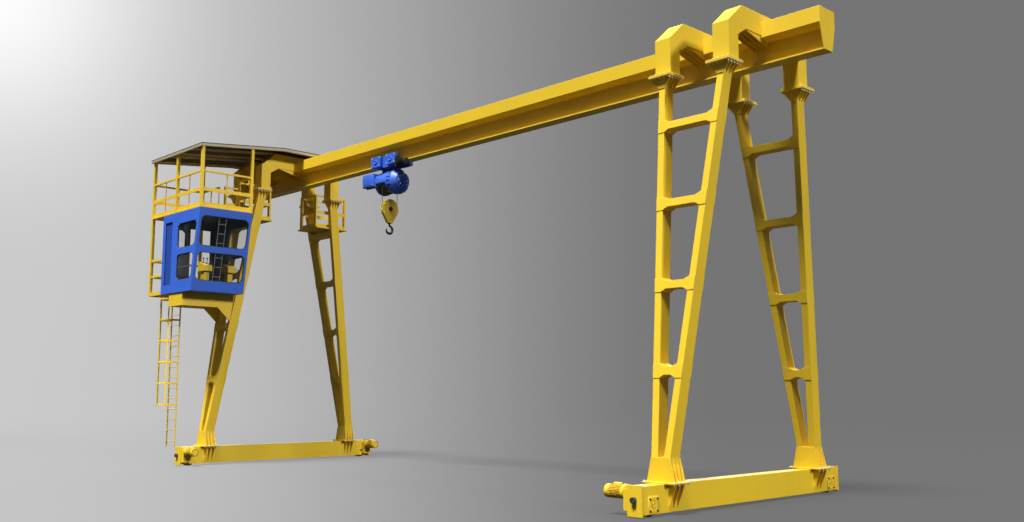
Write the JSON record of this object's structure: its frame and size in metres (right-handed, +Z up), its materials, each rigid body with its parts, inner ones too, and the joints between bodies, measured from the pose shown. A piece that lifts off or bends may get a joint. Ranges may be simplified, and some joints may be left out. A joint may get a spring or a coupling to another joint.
{
  "type": "gantry crane",
  "caption": "Rail gantry crane with a girder on leaning double-column legs, an underslung hoist and hook, an operator's cab, a roofed deck and a caged ladder.",
  "frame": {"origin": "on the ground at the middle of the span, halfway between the near and far wheels", "axes": "+X along the girder away from the cab, +Y along the track away from the cab side, +Z up"},
  "size_m": [20, 6.73, 9.045],
  "materials": {
    "yellow_paint": "satin",
    "blue_paint": "satin",
    "dark_steel": "matt",
    "black_rubber": "matt",
    "cab_glass": "clear",
    "rope_steel": "stranded",
    "forged_steel": "forged",
    "roof_steel": "matt"
  },
  "bodies": {
    "frame": {"buffers": "black_rubber", "cab_back_wall": "blue_paint", "cab_bracket": "yellow_paint", "cab_floor_and_ceiling": "blue_paint", "cab_front_wall": "blue_paint", "cab_glazing": "cab_glass", "cab_side_walls": "blue_paint", "cage_strips": "yellow_paint", "columns": "yellow_paint", "control_consoles": "dark_steel", "crossbars": "yellow_paint", "feet": "yellow_paint", "girder_box": "yellow_paint", "girder_end_plates": "yellow_paint", "girder_web": "yellow_paint", "ladder": "yellow_paint", "ladder_hoops": "yellow_paint", "landing": "yellow_paint", "landing_railing": "yellow_paint", "leg_heads": "yellow_paint", "roof_frame": "yellow_paint", "roof_sheet": "roof_steel", "running_flange": "yellow_paint", "saddle_ribs": "yellow_paint", "saddles": "yellow_paint", "sill_end_plates": "yellow_paint", "sills": "yellow_paint", "travel_drives": "yellow_paint", "upper_deck": "yellow_paint", "upper_railing": "yellow_paint"},
    "trolley": {"trolley_frame": "blue_paint", "trolley_wheels": "dark_steel", "trolley_motor": "dark_steel", "hoist_drum": "blue_paint", "hoist_motor": "blue_paint", "hoist_control_box": "blue_paint", "rope_guide": "dark_steel", "ropes": "rope_steel"},
    "hook_block": {"hook_block": "yellow_paint", "hook_sheave": "dark_steel"},
    "hook": {"hook": "forged_steel"},
    "wheel_left_near": {"wheel_left_near": "forged_steel"},
    "wheel_left_far": {"wheel_left_far": "forged_steel"},
    "wheel_right_near": {"wheel_right_near": "forged_steel"},
    "wheel_right_far": {"wheel_right_far": "forged_steel"}
  },
  "joints": [
    {"name": "trolley_travel", "type": "slide", "parent": "frame", "child": "trolley", "axis": [1, 0, 0], "range_m": [-3.58, 9.02]},
    {"name": "hook_lift", "type": "slide", "parent": "trolley", "child": "hook_block", "axis": [0, 0, 1], "range_m": [-5.8, 0], "deforming": ["ropes"]},
    {"name": "hook_swivel", "type": "hinge", "parent": "hook_block", "child": "hook", "pos_m": [-2.79, 0, 6.4], "axis": [0, 0, 1], "continuous": true},
    {"name": "wheel_left_near_roll", "type": "hinge", "parent": "frame", "child": "wheel_left_near", "pos_m": [-8, -2.86, 0.2], "axis": [1, 0, 0], "continuous": true},
    {"name": "wheel_left_far_roll", "type": "hinge", "parent": "frame", "child": "wheel_left_far", "pos_m": [-8, 2.86, 0.2], "axis": [1, 0, 0], "continuous": true},
    {"name": "wheel_right_near_roll", "type": "hinge", "parent": "frame", "child": "wheel_right_near", "pos_m": [8, -2.86, 0.2], "axis": [1, 0, 0], "continuous": true},
    {"name": "wheel_right_far_roll", "type": "hinge", "parent": "frame", "child": "wheel_right_far", "pos_m": [8, 2.86, 0.2], "axis": [1, 0, 0], "continuous": true}
  ]
}
